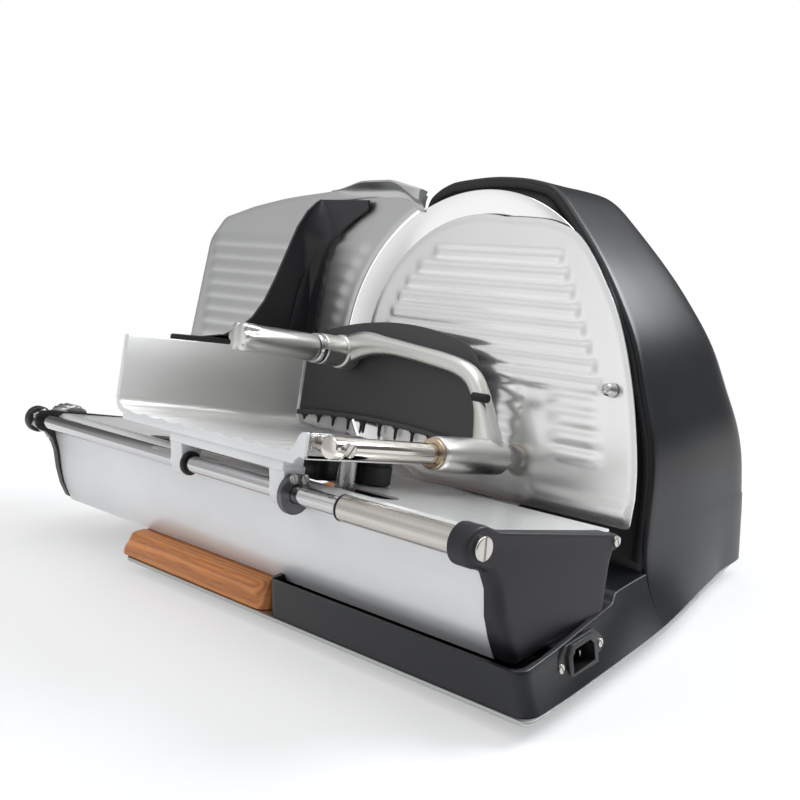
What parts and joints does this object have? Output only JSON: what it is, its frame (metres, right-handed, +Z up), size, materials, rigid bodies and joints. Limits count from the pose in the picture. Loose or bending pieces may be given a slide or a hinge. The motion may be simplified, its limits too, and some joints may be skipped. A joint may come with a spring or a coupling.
{
  "type": "food slicer",
  "caption": "Electric food slicer with a leaning round blade, ribbed gauge plate, sliding carriage with hinged toothed pusher, black cast housing and a wooden board.",
  "frame": {"origin": "middle of the outer box, on the surface that the machine stands on", "axes": "+X to the right along the guide, +Y away from the person who slices, +Z up"},
  "size_m": [0.5518, 0.355, 0.3039],
  "materials": {
    "plate_aluminium": "satin",
    "foot_rubber": "matt",
    "casting_black": "satin",
    "black_plastic": "satin",
    "white_paint": "satin",
    "polished_steel": "polished",
    "brushed_steel": "brushed",
    "satin_aluminium": "satin",
    "board_wood": "oiled"
  },
  "bodies": {
    "machine": {"base_plate": "plate_aluminium", "foot_front_right": "foot_rubber", "foot_front_left": "foot_rubber", "foot_back_right": "foot_rubber", "foot_back_left": "foot_rubber", "housing": "casting_black", "power_inlet": "black_plastic", "switch_body": "black_plastic", "shaft_bearing": "satin_aluminium", "motor": "black_plastic", "motor_bracket": "brushed_steel", "drive_belt": "foot_rubber", "blade_cover": "satin_aluminium", "cover_spacer_upper": "brushed_steel", "cover_spacer_lower": "brushed_steel", "cover_pin": "polished_steel", "guide_top_plate": "brushed_steel", "guide_apron": "white_paint", "guide_support": "casting_black", "guide_left_cap": "black_plastic", "guide_right_cap": "casting_black", "cap_screw": "polished_steel", "rod_end_screw": "polished_steel", "guide_rod": "brushed_steel", "rod_nut": "polished_steel", "rod_sleeve": "brushed_steel", "gauge_bush_block": "satin_aluminium"},
    "blade_drive": {"blade": "polished_steel", "blade_shaft": "brushed_steel", "blade_pulley": "satin_aluminium"},
    "motor_drive": {"motor_pulley": "brushed_steel"},
    "gauge": {"gauge_plate": "satin_aluminium", "gauge_bracket": "satin_aluminium", "gauge_slide_rod": "brushed_steel"},
    "knob": {"thickness_knob": "brushed_steel"},
    "carriage": {"carriage_table": "brushed_steel", "table_front_strip": "white_paint", "carriage_arm": "white_paint", "guide_bush_left": "black_plastic", "guide_bush_right": "black_plastic", "clamp_ring": "brushed_steel", "carriage_block": "black_plastic", "carriage_post": "brushed_steel", "carriage_buffer": "foot_rubber", "hand_guard": "black_plastic", "pusher_rod": "brushed_steel", "rod_spacer": "brushed_steel", "rod_side_screw": "polished_steel", "rod_far_screw": "polished_steel"},
    "bush": {"pusher_bush": "brushed_steel"},
    "pusher": {"pusher_arm": "satin_aluminium", "arm_bumper": "foot_rubber", "handle_stud": "black_plastic", "handle_collar": "polished_steel", "pusher_handle": "satin_aluminium", "pusher_plate": "black_plastic"},
    "button_on": {"on_button": "white_paint"},
    "button_off": {"off_button": "black_plastic"},
    "board": {"wooden_board": "board_wood"}
  },
  "joints": [
    {"name": "carriage_slide", "type": "slide", "parent": "machine", "child": "carriage", "axis": [1, 0, 0], "range_m": [-0.175, 0.034]},
    {"name": "pusher_slide", "type": "slide", "parent": "carriage", "child": "bush", "axis": [0, -0.9763, 0.2164], "range_m": [0, 0.079]},
    {"name": "pusher_swing", "type": "hinge", "parent": "bush", "child": "pusher", "pos_m": [0.12567, -0.08715, 0.12435], "axis": [0, 0.9763, -0.2164], "range_deg": [0, 80]},
    {"name": "blade_spin", "type": "hinge", "parent": "machine", "child": "blade_drive", "pos_m": [0.07067, 0.02822, 0.17252], "axis": [-0.0349, 0.9757, -0.2163], "continuous": true},
    {"name": "motor_spin", "type": "hinge", "parent": "machine", "child": "motor_drive", "pos_m": [0.15687, 0.07394, 0.13371], "axis": [-0.0349, 0.9757, -0.2163], "continuous": true},
    {"name": "knob_turn", "type": "hinge", "parent": "machine", "child": "knob", "pos_m": [-0.24133, -0.1329, 0.09352], "axis": [1, 0, 0], "range_deg": [0, 300]},
    {"name": "gauge_slide", "type": "slide", "parent": "machine", "child": "gauge", "axis": [0, 0.9763, -0.2164], "range_m": [0, 0.014]},
    {"name": "on_press", "type": "slide", "parent": "machine", "child": "button_on", "axis": [0, -1, 0], "range_m": [0, 0.003], "stiffness_N_per_m": 400, "springref_m": -0.002},
    {"name": "off_press", "type": "slide", "parent": "machine", "child": "button_off", "axis": [0, -1, 0], "range_m": [0, 0.003], "stiffness_N_per_m": 400, "springref_m": -0.002},
    {"name": "board_slide", "type": "slide", "parent": "machine", "child": "board", "axis": [-1, 0, 0], "range_m": [0, 0.18]}
  ],
  "couplings": [
    {"joint": "motor_spin", "follows": "blade_spin", "ratio": 3.8889},
    {"joint": "gauge_slide", "follows": "knob_turn", "m_per_rad": 0.0026738}
  ]
}
